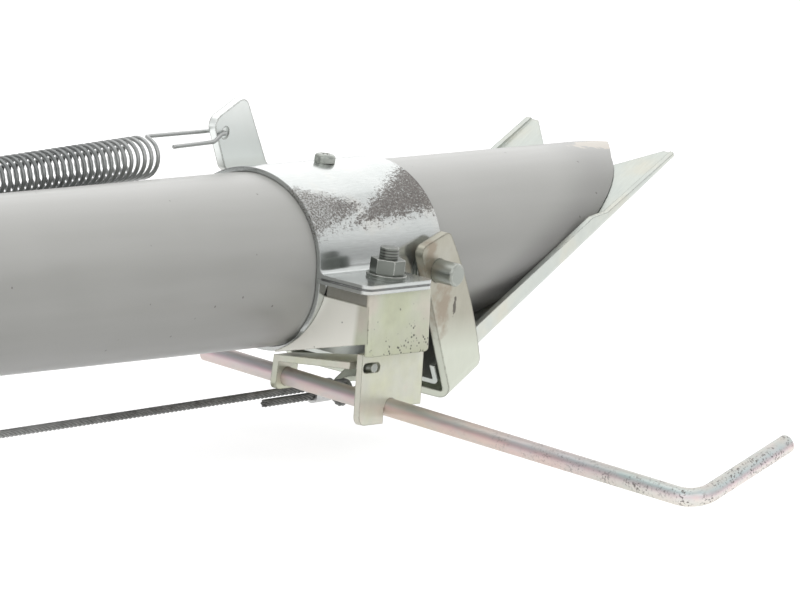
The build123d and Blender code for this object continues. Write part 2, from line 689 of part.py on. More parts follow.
# Least gap of the wire to itself, measured on points along it
samples = []
run = 0.0
for e in edges:
    count = max(2, int(e.length / 0.6))
    for i in range(count):
        samples.append((run + e.length * i / count, e.position_at(i / count)))
    run = run + e.length
least = 1e9
cells = {}
for s, p in samples:
    key = (int(p.X // 4), int(p.Y // 4), int(p.Z // 4))
    cells.setdefault(key, []).append((s, p))
for (i, j, k), held in cells.items():
    near = []
    for a in (-1, 0, 1):
        for b in (-1, 0, 1):
            for c in (-1, 0, 1):
                near.extend(cells.get((i + a, j + b, k + c), []))
    for s, p in held:
        for s2, p2 in near:
            if s2 - s > 8:
                least = min(least, (p2 - p).length - 2 * WIRE_R)
gap = "over 2" if least > 1e8 else str(round(least, 2))
print("spring wire", round(run, 1), "mm, least gap to itself", gap, "mm")

# Screw that holds the upper spring hook
post = rod_z(ANCHOR_R, BORE_STOP, hook_rad + ANCHOR_HEAD_H + 1)
post = post + rod_z(ANCHOR_R + ANCHOR_HEAD, hook_rad + ANCHOR_HEAD_H, hook_rad + 2 * ANCHOR_HEAD_H)
parts["spring_anchor"] = one(at_anchor(post))
nut = hex_z(ANCHOR_NUT_AF, TUBE_R, TUBE_R + ANCHOR_NUT_H)
nut = nut - rod_z(ANCHOR_R + RUN_CLEAR, TUBE_R - 5, TUBE_R + 2 * ANCHOR_NUT_H)
parts["spring_anchor_nut"] = one(at_anchor(nut))

# Cable: one loop round the tab's rear lip, one round the finger bar, tails doubled back through sleeves
lip_t = (TAB_END + TAB_HOLE_T - TAB_HOLE_R) / 2
lip_x, lip_z = jaw_point(lip_t, (TAB_BOT + TAB_TOP) / 2)
hole_x, hole_z = jaw_point(TAB_HOLE_T, (TAB_BOT + TAB_TOP) / 2)
jaw_rad = math.radians(JAW_OPEN)
pull = hole_x - (hole_x * math.cos(jaw_rad) + hole_z * math.sin(jaw_rad))
lever_start = math.atan2(pull / 2, -BAR_Z)
bar_x = LEVER_X + pull / 2
bar_loop = FINGER_R + CABLE_R + BAR_CLEAR
dx = bar_x - lip_x
dz = BAR_Z - lip_z
step = LOOP_R + bar_loop
main_len = math.sqrt(dx * dx + dz * dz - step * step)
turned = math.atan2(dz, dx) - math.atan2(step, -main_len)
U = Vector(math.cos(turned), 0, math.sin(turned))
W = Vector(-math.sin(turned), 0, math.cos(turned))
top1 = Vector(lip_x, 0, lip_z) + W * LOOP_R


def at(u, w):
    return top1 + U * u + W * w


def loop(r, sign, u0):
    g = math.radians(LOOP_ANGLE)
    rise = r * (1 + math.cos(g)) - WIRE_STEP - LOOP_BEND * (1 - math.cos(g))
    line = rise / math.sin(g)
    pts = []
    heading = []
    for deg in (0, 70, 140, 180 + LOOP_ANGLE):
        a = math.radians(deg)
        pts.append((u0 + sign * r * math.sin(a), -sign * r * (1 - math.cos(a))))
        heading.append((sign * math.cos(a), -sign * math.sin(a)))
    u, w = pts[-1]
    hu, hw = heading[-1]
    pts.append((u + hu * line, w + hw * line))
    heading.append((hu, hw))
    u, w = pts[-1]
    pts.append((u - sign * LOOP_BEND * math.sin(g), -sign * WIRE_STEP))
    heading.append((-sign, 0))
    pts.append((pts[-1][0] - sign * (FERRULE_L + TAIL), -sign * WIRE_STEP))
    heading.append((-sign, 0))
    return pts, heading, pts[-2][0]


def joined(pts, heading):
    found = []
    for (u0, w0), (u1, w1), (hu, hw) in zip(pts, pts[1:], heading):
        du, dw = u1 - u0, w1 - w0
        if abs(du * hw - dw * hu) < 1e-6:
            found.append(Edge.make_line(at(u0, w0), at(u1, w1)))
        else:
            found.append(Edge.make_tangent_arc(at(u0, w0), U * hu + W * hw, at(u1, w1)))
    return found


low_pts, low_head, low_u = loop(LOOP_R, 1, 0.0)
up_pts, up_head, up_u = loop(bar_loop, -1, -main_len)
back_pts = low_pts[::-1]
back_head = [(-hu, -hw) for hu, hw in low_head[::-1]]
cable_edges = joined(back_pts, back_head)
cable_edges.append(Edge.make_line(at(0, 0), at(-main_len, 0)))
cable_edges.extend(joined(up_pts, up_head))
start = at(*back_pts[0])
cable = sweep(Plane(origin=start, z_dir=U) * Circle(CABLE_R), path=Wire(cable_edges))
parts["pull_cable"] = one(cable)
ferrules = (("cable_ferrule_lower", low_u - FERRULE_OFF, 1), ("cable_ferrule_upper", up_u + FERRULE_OFF, -1))
for name, u1, sign in ferrules:
    u0 = u1 - sign * FERRULE_L
    wall = CABLE_R + FERRULE_WALL
    plane = Plane(origin=at(min(u0, u1), -sign * WIRE_STEP / 2), x_dir=W, z_dir=U)
    sleeve = extrude(plane * SlotCenterToCenter(WIRE_STEP, 2 * wall), amount=FERRULE_L)
    for w in (0, -sign * WIRE_STEP):
        middle = Plane(origin=at((u0 + u1) / 2, w), z_dir=U)
        sleeve = sleeve - middle * Cylinder(CABLE_R + FERRULE_CLEAR, 2 * FERRULE_L)
    parts[name] = one(sleeve)

# Hand lever and grips
reach = math.hypot(pull / 2, BAR_Z)
for end, side in (("near", -1), ("far", 1)):
    y0, y1 = side_range(side, ARM_IN, ARM_IN + ARM_T)
    arm = block(-ARM_HALF, ARM_HALF, y0, y1, -reach, 0)
    arm = arm + rod_y(ARM_HALF, y0, y1) + rod_y(ARM_HALF, y0, y1, 0, -reach)
    arm = arm - rod_y(PIN_R + RUN_CLEAR, -REACH, REACH) - rod_y(FINGER_R, -REACH, REACH, 0, -reach)
    arm = Pos(LEVER_X, 0, 0) * Rot(0, -math.degrees(lever_start), 0) * arm
    parts["lever_arm_" + end] = one(arm)
    y0, y1 = side_range(side, GRIP_START, FINGER_HALF)
    sleeve = rod_y(FINGER_R + SLEEVE_T, y0, y1, bar_x, BAR_Z) - rod_y(FINGER_R, y0 - 1, y1 + 1, bar_x, BAR_Z)
    parts["finger_sleeve_" + end] = one(sleeve)
    y0, y1 = side_range(side, GRIP_START, HANDLE_HALF + GRIP_END)
    grip = rod_y(HANDLE_R + GRIP_T, y0, y1, HANDLE_X, HANDLE_Z)
    grip = fillet(grip.edges().filter_by(GeomType.CIRCLE), GRIP_ROUND)
    grip = grip - rod_y(HANDLE_R, -HANDLE_HALF, HANDLE_HALF, HANDLE_X, HANDLE_Z)
    parts["grip_" + end] = one(grip)
parts["finger_bar"] = one(rod_y(FINGER_R, -FINGER_HALF - 1, FINGER_HALF + 1, bar_x, BAR_Z))

# Cross handle
bar = rod_y(HANDLE_R, -HANDLE_HALF, HANDLE_HALF, HANDLE_X, HANDLE_Z)
bar = bar - rod_y(HANDLE_R - HANDLE_WALL, -REACH, REACH, HANDLE_X, HANDLE_Z)
parts["handle_bar"] = one(bar)
cheek_out = CHEEK_Y + CHEEK_T
bx0 = HANDLE_X - CHEEK_HALF
bx1 = HANDLE_X + CHEEK_HALF
saddle = block(bx0, bx1, -cheek_out, cheek_out, -BAND_OUT - CHEEK_T, -BAND_OUT)
for side in (-1, 1):
    y0, y1 = side_range(side, CHEEK_Y, cheek_out)
    cheek = block(bx0, bx1, y0, y1, HANDLE_Z, -BAND_OUT - 1)
    cheek = cheek + rod_y(CHEEK_HALF, y0, y1, HANDLE_X, HANDLE_Z)
    saddle = saddle + (cheek & block(-REACH, REACH, y0, y1, HANDLE_Z - CHEEK_CUT, 0))
saddle = saddle - rod_y(HANDLE_R, -REACH, REACH, HANDLE_X, HANDLE_Z)
parts["handle_bracket"] = one(saddle)

os.makedirs("parts", exist_ok=True)
for name, shape in parts.items():
    shape.label = name
    export_step(shape, "parts/" + name + ".step")
print(len(parts), "parts; cable pull", round(pull, 3), "mm")
print("lever turn", round(2 * math.degrees(lever_start), 3), "deg; finger bar x", round(bar_x, 3))
print("cable heading", round(math.degrees(turned), 4), "deg; lip", round(lip_x, 3), round(lip_z, 3))
print("spring hook at", [round(c, 3) for c in (hook_at.X, hook_at.Y, hook_at.Z)])
print("ear hole", round(ear_x, 3), round(ear_z, 3), "coil start z", round(COIL_Z, 3))
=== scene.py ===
import json
import math

import bpy
from mathutils import Matrix, Vector


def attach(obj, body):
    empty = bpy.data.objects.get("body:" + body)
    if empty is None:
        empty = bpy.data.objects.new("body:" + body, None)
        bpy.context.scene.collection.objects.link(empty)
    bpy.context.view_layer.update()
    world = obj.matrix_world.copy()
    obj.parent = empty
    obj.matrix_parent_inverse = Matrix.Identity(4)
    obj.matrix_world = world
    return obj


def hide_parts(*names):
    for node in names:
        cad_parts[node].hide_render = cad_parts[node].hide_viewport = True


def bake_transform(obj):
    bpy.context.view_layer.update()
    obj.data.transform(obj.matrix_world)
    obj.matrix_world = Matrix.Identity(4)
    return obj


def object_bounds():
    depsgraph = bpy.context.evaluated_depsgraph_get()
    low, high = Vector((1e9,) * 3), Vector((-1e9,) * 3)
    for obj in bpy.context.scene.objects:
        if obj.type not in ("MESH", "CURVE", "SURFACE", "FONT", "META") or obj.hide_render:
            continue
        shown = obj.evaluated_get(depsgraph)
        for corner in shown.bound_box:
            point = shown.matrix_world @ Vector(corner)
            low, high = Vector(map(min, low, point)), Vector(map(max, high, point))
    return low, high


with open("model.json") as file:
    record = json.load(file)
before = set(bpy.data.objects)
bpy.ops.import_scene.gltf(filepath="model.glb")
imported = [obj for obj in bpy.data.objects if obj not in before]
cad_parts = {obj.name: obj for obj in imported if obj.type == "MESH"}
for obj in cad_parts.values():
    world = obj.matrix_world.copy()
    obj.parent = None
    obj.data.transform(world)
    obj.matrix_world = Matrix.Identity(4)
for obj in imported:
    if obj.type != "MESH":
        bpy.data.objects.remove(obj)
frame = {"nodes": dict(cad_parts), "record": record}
cad_lo, cad_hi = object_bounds()
nodes = frame["nodes"]
MM = 0.001
EVEN = (1.0, 1.0, 1.0)

# Levels between which a noise mostly stays
NOISE_LOW = 0.3
NOISE_HIGH = 0.7

# Cosines between a face and its rounded edge where the edge line begins and where it is full
EDGE_LINE_BEGINS = 0.995
EDGE_LINE_FULL = 0.90
BEVEL_SAMPLES = 4

# Sockets of a mix node when it mixes colours
MIX_FACTOR = 0
MIX_FIRST = 6
MIX_SECOND = 7
MIX_RESULT = 2


# Small helpers for node trees
def start_material(name):
    mat = bpy.data.materials.new(name)
    mat.use_nodes = True
    tree = mat.node_tree
    tree.nodes.clear()
    out = tree.nodes.new("ShaderNodeOutputMaterial")
    bsdf = tree.nodes.new("ShaderNodeBsdfPrincipled")
    tree.links.new(bsdf.outputs["BSDF"], out.inputs["Surface"])
    return mat, tree, bsdf


def object_coords(tree, stretch=EVEN):
    coord = tree.nodes.new("ShaderNodeTexCoord")
    mapping = tree.nodes.new("ShaderNodeMapping")
    mapping.inputs["Scale"].default_value = stretch
    tree.links.new(coord.outputs["Object"], mapping.inputs["Vector"])
    return mapping.outputs["Vector"]


def split_xyz(tree, coords):
    node = tree.nodes.new("ShaderNodeSeparateXYZ")
    tree.links.new(coords, node.inputs["Vector"])
    return node.outputs["X"], node.outputs["Y"], node.outputs["Z"]


def noise(tree, coords, scale, detail=3.0, rough=0.55):
    tex = tree.nodes.new("ShaderNodeTexNoise")
    tex.inputs["Scale"].default_value = scale
    tex.inputs["Detail"].default_value = detail
    tex.inputs["Roughness"].default_value = rough
    tree.links.new(coords, tex.inputs["Vector"])
    return tex.outputs["Fac"]


def cell_distance(tree, coords, scale):
    cells = tree.nodes.new("ShaderNodeTexVoronoi")
    cells.inputs["Scale"].default_value = scale
    tree.links.new(coords, cells.inputs["Vector"])
    return cells.outputs["Distance"]


def wave_bands(tree, coords, direction, scale):
    wave = tree.nodes.new("ShaderNodeTexWave")
    wave.bands_direction = direction
    wave.inputs["Scale"].default_value = scale
    tree.links.new(coords, wave.inputs["Vector"])
    return wave.outputs["Fac"]


def ramp(tree, value, stops):
    node = tree.nodes.new("ShaderNodeValToRGB")
    band = node.color_ramp
    band.elements[0].position = stops[0][0]
    band.elements[0].color = (*stops[0][1], 1.0)
    band.elements[1].position = stops[-1][0]
    band.elements[1].color = (*stops[-1][1], 1.0)
    for place, colour in stops[1:-1]:
        element = band.elements.new(place)
        element.color = (*colour, 1.0)
    tree.links.new(value, node.inputs["Fac"])
    return node.outputs["Color"]


def remap(tree, value, from_low, from_high, to_low, to_high, curve="LINEAR"):
    node = tree.nodes.new("ShaderNodeMapRange")
    node.interpolation_type = curve
    node.inputs["From Min"].default_value = from_low
    node.inputs["From Max"].default_value = from_high
    node.inputs["To Min"].default_value = to_low
    node.inputs["To Max"].default_value = to_high
    tree.links.new(value, node.inputs["Value"])
    return node.outputs["Result"]


# Rise from nothing where a value begins to the most where it is full
def fade(tree, value, begins, full, most=1.0, curve="LINEAR"):
    return remap(tree, value, begins, full, 0.0, most, curve)


# A noise spread over a range
def spread(tree, value, low, high):
    return remap(tree, value, NOISE_LOW, NOISE_HIGH, low, high)


# A noise that runs as far below zero as above it
def jitter(tree, coords, reach, scale, detail=3.0, rough=0.55):
    return spread(tree, noise(tree, coords, scale, detail, rough), -reach, reach)


def math_node(tree, operation, a, b):
    node = tree.nodes.new("ShaderNodeMath")
    node.operation = operation
    for socket, value in zip(node.inputs, (a, b)):
        if isinstance(value, (int, float)):
            socket.default_value = value
        else:
            tree.links.new(value, socket)
    return node.outputs["Value"]


def product(tree, first, *others):
    for other in others:
        first = math_node(tree, "MULTIPLY", first, other)
    return first


def dot_product(tree, coords, direction):
    node = tree.nodes.new("ShaderNodeVectorMath")
    node.operation = "DOT_PRODUCT"
    tree.links.new(coords, node.inputs[0])
    if isinstance(direction, tuple):
        node.inputs[1].default_value = direction
    else:
        tree.links.new(direction, node.inputs[1])
    return node.outputs["Value"]


def mix_colour(tree, factor, a, b, blend="MIX"):
    node = tree.nodes.new("ShaderNodeMix")
    node.data_type = "RGBA"
    node.blend_type = blend
    if isinstance(factor, (int, float)):
        node.inputs[MIX_FACTOR].default_value = factor
    else:
        tree.links.new(factor, node.inputs[MIX_FACTOR])
    for socket, value in ((node.inputs[MIX_FIRST], a), (node.inputs[MIX_SECOND], b)):
        if isinstance(value, tuple):
            socket.default_value = (*value, 1.0)
        else:
            tree.links.new(value, socket)
    return node.outputs[MIX_RESULT]


def bevel_normal(tree, radius):
    node = tree.nodes.new("ShaderNodeBevel")
    node.samples = BEVEL_SAMPLES
    node.inputs["Radius"].default_value = radius
    return node.outputs["Normal"]


def edge_mask(tree, soft_normal):
    geometry = tree.nodes.new("ShaderNodeNewGeometry")
    return fade(tree, dot_product(tree, soft_normal, geometry.outputs["Normal"]), EDGE_LINE_BEGINS, EDGE_LINE_FULL)


def bump(tree, bsdf, height, strength, distance, normal=None):
    node = tree.nodes.new("ShaderNodeBump")
    node.inputs["Strength"].default_value = strength
    node.inputs["Distance"].default_value = distance
    tree.links.new(height, node.inputs["Height"])
    if normal is not None:
        tree.links.new(normal, node.inputs["Normal"])
    tree.links.new(node.outputs["Normal"], bsdf.inputs["Normal"])


# Distance from a spot's middle, counted in its own half sizes
def spot(tree, coords, centre, size):
    shift = tree.nodes.new("ShaderNodeMapping")
    shift.vector_type = "TEXTURE"
    shift.inputs["Location"].default_value = centre
    shift.inputs["Scale"].default_value = size
    tree.links.new(coords, shift.inputs["Vector"])
    length = tree.nodes.new("ShaderNodeVectorMath")
    length.operation = "LENGTH"
    tree.links.new(shift.outputs["Vector"], length.inputs[0])
    return length.outputs["Value"]


def dress(names, material):
    for name in names:
        held = nodes[name].data.materials
        for index in range(len(held)):
            held[index] = material


# Painted contact shade that fades with the distance in metres from the tube's oblique mouth, and towards
# its upper lip
def mouth_painted_shade(tree, plain):
    mouth_normal = (-0.5045, 0.0, 0.8634)
    mouth_offset = 0.0512
    shade_begins = 0.023
    shade_full = 0.006
    lip_height = 0.022
    throat_height = -0.018
    inside = math_node(tree, "ADD", dot_product(tree, plain, mouth_normal), mouth_offset)
    near = fade(tree, inside, shade_begins, shade_full, curve="SMOOTHSTEP")
    deep = remap(tree, split_xyz(tree, plain)[2], lip_height, throat_height, 0.30, 1.0)
    return product(tree, near, deep)


# Satin grey tube with faint lengthwise scuffs, dark specks, painted shade at its mouth and a chipped tip
def tube_material():
    greys = ((0.2, (0.335, 0.335, 0.316)), (0.8, (0.375, 0.375, 0.356)))
    scuff_grey = (0.42, 0.42, 0.405)
    speck_brown = (0.10, 0.09, 0.08)
    shade_grey = (0.085, 0.08, 0.08)
    chip_cream = (0.50, 0.45, 0.38)
    chip_centre = (0.170, -0.002, 0.0375)
    chip_size = (0.022, 0.0075, 0.005)
    drawn = (1.0, 12.0, 12.0)
    mat, tree, bsdf = start_material("tube_plastic")
    plain = object_coords(tree)
    cloud = noise(tree, plain, scale=22.0, detail=1.5)
    base = ramp(tree, cloud, greys)
    streak = noise(tree, object_coords(tree, drawn), scale=9.0, detail=2.0, rough=0.5)
    base = mix_colour(tree, fade(tree, streak, 0.25, 0.75, most=0.42), base, scuff_grey)
    specks = fade(tree, cell_distance(tree, plain, scale=80.0), 0.055, 0.035, most=0.7)
    base = mix_colour(tree, specks, base, speck_brown)
    # Painted shade: the tube darkens towards its oblique mouth, most at the throat
    painted_shade = product(tree, mouth_painted_shade(tree, plain), spread(tree, cloud, 0.75, 1.0))
    base = mix_colour(tree, painted_shade, base, shade_grey)
    torn = jitter(tree, plain, reach=0.35, scale=260.0, detail=4.0)
    ragged = math_node(tree, "ADD", spot(tree, plain, chip_centre, chip_size), torn)
    base = mix_colour(tree, fade(tree, ragged, 1.0, 0.8, most=0.9), base, chip_cream)
    tree.links.new(base, bsdf.inputs["Base Color"])
    tree.links.new(remap(tree, cloud, 0.2, 0.8, 0.285, 0.34), bsdf.inputs["Roughness"])
    bump(tree, bsdf, noise(tree, plain, scale=900.0), strength=0.10, distance=0.0002)
    return mat


# Plated steel: grain along one axis, cloudy tint, and broken lines along its edges
def plated(name, tints, rough=None, stretch=EVEN, metallic=0.92, soft=0.0006):
    grain_shades = ((NOISE_LOW, (0.90, 0.90, 0.90)), (NOISE_HIGH, (1.0, 1.0, 1.0)))
    mat, tree, bsdf = start_material(name)
    plain = object_coords(tree)
    base = ramp(tree, noise(tree, plain, scale=38.0, detail=4.0), tints)
    grain = noise(tree, object_coords(tree, stretch), scale=160.0, detail=4.0, rough=0.65)
    base = mix_colour(tree, 1.0, base, ramp(tree, grain, grain_shades), "MULTIPLY")
    round_normal = bevel_normal(tree, soft)
    gaps = remap(tree, noise(tree, plain, scale=420.0), 0.3, 0.6, 0.40, 0.95)
    broken = product(tree, edge_mask(tree, round_normal), gaps)
    if rough is not None:
        tree.links.new(remap(tree, grain, 0.25, 0.75, *rough), bsdf.inputs["Roughness"])
    bsdf.inputs["Metallic"].default_value = metallic
    bump(tree, bsdf, grain, 0.08, 0.00015, round_normal)
    return mat, tree, bsdf, base, plain, broken


def finish_base(tree, bsdf, base, broken, edge):
    tree.links.new(mix_colour(tree, broken, base, edge), bsdf.inputs["Base Color"])


# Plated steel with no marks but the broken lines along its edges
def unmarked(name, tints, edge, rough, stretch=EVEN, metallic=0.92, soft=0.0006):
    mat, tree, bsdf, base, _, broken = plated(name, tints, rough, stretch, metallic, soft)
    finish_base(tree, bsdf, base, broken, edge)
    return mat


# Place on the band unrolled: along the tube, and up round it from the near side
def unrolled(tree, plain):
    band_radius = 0.0397
    x, y, z = split_xyz(tree, plain)
    angle = math_node(tree, "ARCTAN2", z, product(tree, y, -1.0))
    sheet = tree.nodes.new("ShaderNodeCombineXYZ")
    tree.links.new(x, sheet.inputs["X"])
    tree.links.new(product(tree, angle, band_radius), sheet.inputs["Y"])
    return sheet.outputs["Vector"]


# Depth in metres inside a wedge of the unrolled band, each of its sides a direction and an offset
def wedge_depth(tree, sheet, sides):
    depth = None
    for along, up, offset in sides:
        inside = math_node(tree, "ADD", dot_product(tree, sheet, (along, up, 0.0)), offset)
        depth = inside if depth is None else math_node(tree, "MINIMUM", depth, inside)
    return depth


# Two rough wedges where the plating is scraped off the near shoulder
def scraped(tree, plain, ragged):
    left_wedge = ((-0.320, -0.946, 0.01636), (-0.305, 0.952, -0.03965), (1.0, 0.0, 0.078))
    right_wedge = ((0.433, -0.902, 0.04150), (-0.055, 0.998, -0.0240))
    rim_outer = -0.0005
    rim_inner = 0.0012
    sheet = unrolled(tree, plain)
    left = wedge_depth(tree, sheet, left_wedge)
    right = wedge_depth(tree, sheet, right_wedge)
    depth = math_node(tree, "ADD", math_node(tree, "MAXIMUM", left, right), ragged)
    return fade(tree, depth, rim_outer, rim_inner, most=0.93)


# Bright band with the scraped wedges and a dark joint between the stacked flanges
def band_material():
    tints = ((0.30, (0.53, 0.555, 0.545)), (0.55, (0.57, 0.59, 0.58)), (0.75, (0.60, 0.59, 0.55)))
    bare_steel = ((0.32, (0.085, 0.075, 0.068)), (0.68, (0.25, 0.23, 0.215)))
    joint_black = (0.03, 0.03, 0.03)
    # Dark lines along the band's edges: painted shade
    edge_line = (0.40, 0.41, 0.40)
    thin_from = -0.062
    thin_to = -0.046
    joint_outer = 0.0007
    joint_inner = 0.0003
    flange_root = 0.0402
    flange_clear = 0.0410
    mat, tree, bsdf, base, plain, broken = plated("band_zinc", tints, stretch=(1.0, 9.0, 9.0))
    x, y, z = split_xyz(tree, plain)
    rubbed = object_coords(tree, (1.0, 2.0, 2.0))
    scuff = scraped(tree, plain, jitter(tree, rubbed, reach=0.0075, scale=420.0, detail=8.0, rough=0.85))
    thinner = remap(tree, x, thin_from, thin_to, -0.09, 0.0)
    grit = math_node(tree, "ADD", noise(tree, plain, scale=1300.0, rough=0.7), thinner)
    scuff = product(tree, scuff, remap(tree, grit, 0.34, 0.46, 0.30, 1.0))
    fine = noise(tree, plain, scale=900.0, detail=5.0, rough=0.8)
    base = mix_colour(tree, scuff, base, ramp(tree, fine, bare_steel))
    joint = fade(tree, math_node(tree, "ABSOLUTE", z, 0.0), joint_outer, joint_inner, most=0.9)
    beyond = fade(tree, math_node(tree, "ABSOLUTE", y, 0.0), flange_root, flange_clear)
    base = mix_colour(tree, product(tree, joint, beyond), base, joint_black)
    finish_base(tree, bsdf, base, broken, edge_line)
    tree.links.new(remap(tree, scuff, 0.0, 0.9, 0.19, 0.62), bsdf.inputs["Roughness"])
    return mat


# Cream passivated sheet of the brackets
# Dark lines along the sheet edges of the brackets and the stay: partly burrs, partly painted shade
BRACKET_EDGE = (0.17, 0.16, 0.11)


def bracket_material():
    tints = (
        (0.28, (0.64, 0.66, 0.51)),
        (0.42, (0.70, 0.71, 0.55)),
        (0.56, (0.70, 0.71, 0.61)),
        (0.70, (0.74, 0.68, 0.60)),
    )
    return unmarked("bracket_zinc", tints, BRACKET_EDGE, (0.32, 0.44), metallic=0.55)


# Greener sheet of the stay with its left wall paler as painted light, and dark pits gathered at the foot of
# its front plate
def stay_material():
    tints = (
        (0.28, (0.56, 0.58, 0.42)),
        (0.42, (0.62, 0.65, 0.48)),
        (0.56, (0.64, 0.66, 0.53)),
        (0.70, (0.68, 0.64, 0.55)),
    )
    wall_painted_light = (0.95, 0.935, 0.86)
    foot_olive = (0.40, 0.40, 0.27)
    pit_black = (0.05, 0.05, 0.04)
    front_face = -0.0585
    front_inside = -0.0570
    wall_clear = -0.0560
    pits_top = -0.0120
    pits_foot = -0.0280
    plate_left = -0.068
    plate_right = -0.032
    mat, tree, bsdf, base, plain, broken = plated("stay_zinc", tints, (0.32, 0.44), metallic=0.35)
    x, y, z = split_xyz(tree, plain)
    # Painted light: the left wall is made paler than the front plate, as if lit from the left
    base = mix_colour(tree, fade(tree, y, front_face, wall_clear, most=0.95), base, wall_painted_light)
    front = fade(tree, y, front_inside, front_face)
    foot = fade(tree, z, pits_top, pits_foot)
    right = remap(tree, x, plate_left, plate_right, 0.25, 1.0)
    place = product(tree, foot, right, front)
    base = mix_colour(tree, product(tree, place, 0.35), base, foot_olive)
    dots = fade(tree, cell_distance(tree, plain, scale=640.0), 0.36, 0.24)
    gathered = math_node(tree, "ADD", place, jitter(tree, plain, reach=0.55, scale=190.0))
    pits = product(tree, dots, fade(tree, gathered, 0.46, 0.58, most=0.9))
    base = mix_colour(tree, pits, base, pit_black)
    finish_base(tree, bsdf, base, broken, BRACKET_EDGE)
    return mat


# Cut edge of the stay's sheet under the flange, dark with painted shade from the flange above
def lip_shade_material():
    tints = ((0.30, (0.25, 0.24, 0.21)), (0.70, (0.33, 0.32, 0.28)))
    # Darker still along its edges: painted shade
    edge_line = (0.10, 0.09, 0.07)
    return unmarked("lip_zinc_shaded", tints, edge_line, (0.36, 0.48), (1.0, 5.0, 1.0), metallic=0.4)


# Blue-white zinc of the tongue
def tongue_material():
    tints = ((0.30, (0.58, 0.62, 0.59)), (0.52, (0.63, 0.66, 0.615)), (0.70, (0.67, 0.66, 0.575)))
    # Dark lines along the tongue's edges: partly burrs, partly painted shade
    edge_line = (0.22, 0.23, 0.21)
    return unmarked("tongue_zinc", tints, edge_line, (0.28, 0.40), (1.0, 6.0, 1.0))


# Yoke: handled warm grey straps with brown stains round the near pivot, cleaner below it, and paler at the
# ear as painted light
def yoke_material():
    tints = ((0.30, (0.42, 0.41, 0.34)), (0.55, (0.48, 0.465, 0.395)), (0.75, (0.50, 0.50, 0.45)))
    strap_pale = (0.62, 0.645, 0.56)
    ear_painted_light = (0.91, 0.94, 0.92)
    stain_brown = (0.30, 0.23, 0.17)
    scratch_black = (0.09, 0.08, 0.07)
    # Dark lines along the yoke's edges: partly burrs, partly painted shade
    edge_line = (0.12, 0.115, 0.09)
    strap_top = -0.020
    strap_low = -0.036
    ear_root = 0.016
    ear_clear = 0.034
    stains = (
        ((-0.0065, -0.0455, 0.003), (0.006, 0.02, 0.014)),
        ((0.0060, -0.0455, -0.0145), (0.007, 0.02, 0.016)),
    )
    scratch_centre = (0.0152, -0.0455, -0.0166)
    scratch_size = (0.0012, 0.02, 0.0045)
    drawn = (4.0, 1.0, 1.0)
    mat, tree, bsdf, base, plain, broken = plated("yoke_zinc", tints, (0.32, 0.46), drawn, soft=0.0011)
    height = split_xyz(tree, plain)[2]
    base = mix_colour(tree, fade(tree, height, strap_top, strap_low), base, strap_pale)
    # Painted light: the ear is made much paler than the straps
    base = mix_colour(tree, fade(tree, height, ear_root, ear_clear), base, ear_painted_light)
    patches = jitter(tree, plain, reach=0.6, scale=150.0, detail=4.0, rough=0.65)
    for centre, size in stains:
        stain = math_node(tree, "ADD", spot(tree, plain, centre, size), patches)
        base = mix_colour(tree, fade(tree, stain, 1.0, 0.3, most=0.6), base, stain_brown)
    torn = jitter(tree, plain, reach=0.45, scale=500.0)
    scratch = math_node(tree, "ADD", spot(tree, plain, scratch_centre, scratch_size), torn)
    base = mix_colour(tree, fade(tree, scratch, 1.0, 0.7, most=0.85), base, scratch_black)
    finish_base(tree, bsdf, base, broken, edge_line)
    return mat


# Bolts, nuts and washers, with pale worn edges
FASTENER_TINTS = ((0.30, (0.16, 0.172, 0.155)), (0.55, (0.205, 0.217, 0.198)), (0.75, (0.25, 0.25, 0.222)))
FASTENER_ROUGH = (0.28, 0.38)
FASTENER_EDGE = (0.74, 0.75, 0.71)


def bolt_material():
    return unmarked("bolt_zinc", FASTENER_TINTS, FASTENER_EDGE, FASTENER_ROUGH)


# Clamp bolts, with the thread of the stud above the nut drawn as dark grooves of painted shade
def stud_material():
    groove_shade = (0.06, 0.06, 0.055)
    thread_scale = 251.0
    nut_top = 0.0100
    thread_low = 0.0102
    thread_high = 0.0146
    stud_end = 0.0149
    mat, tree, bsdf, base, plain, broken = plated("stud_zinc", FASTENER_TINTS, FASTENER_ROUGH)
    height = split_xyz(tree, plain)[2]
    above = fade(tree, height, nut_top, thread_low)
    under_end = fade(tree, height, stud_end, thread_high)
    groove = fade(tree, wave_bands(tree, plain, "Z", thread_scale), 0.55, 0.2, most=0.9)
    base = mix_colour(tree, product(tree, groove, above, under_end), base, groove_shade)
    finish_base(tree, bsdf, base, broken, FASTENER_EDGE)
    return mat


# Pivot pins and screws, a little paler than the bolts
def pin_material():
    tints = ((0.30, (0.32, 0.34, 0.31)), (0.55, (0.38, 0.40, 0.37)), (0.75, (0.43, 0.43, 0.39)))
    edge_line = (0.58, 0.59, 0.54)
    return unmarked("pin_zinc", tints, edge_line, (0.28, 0.40), soft=0.0010)
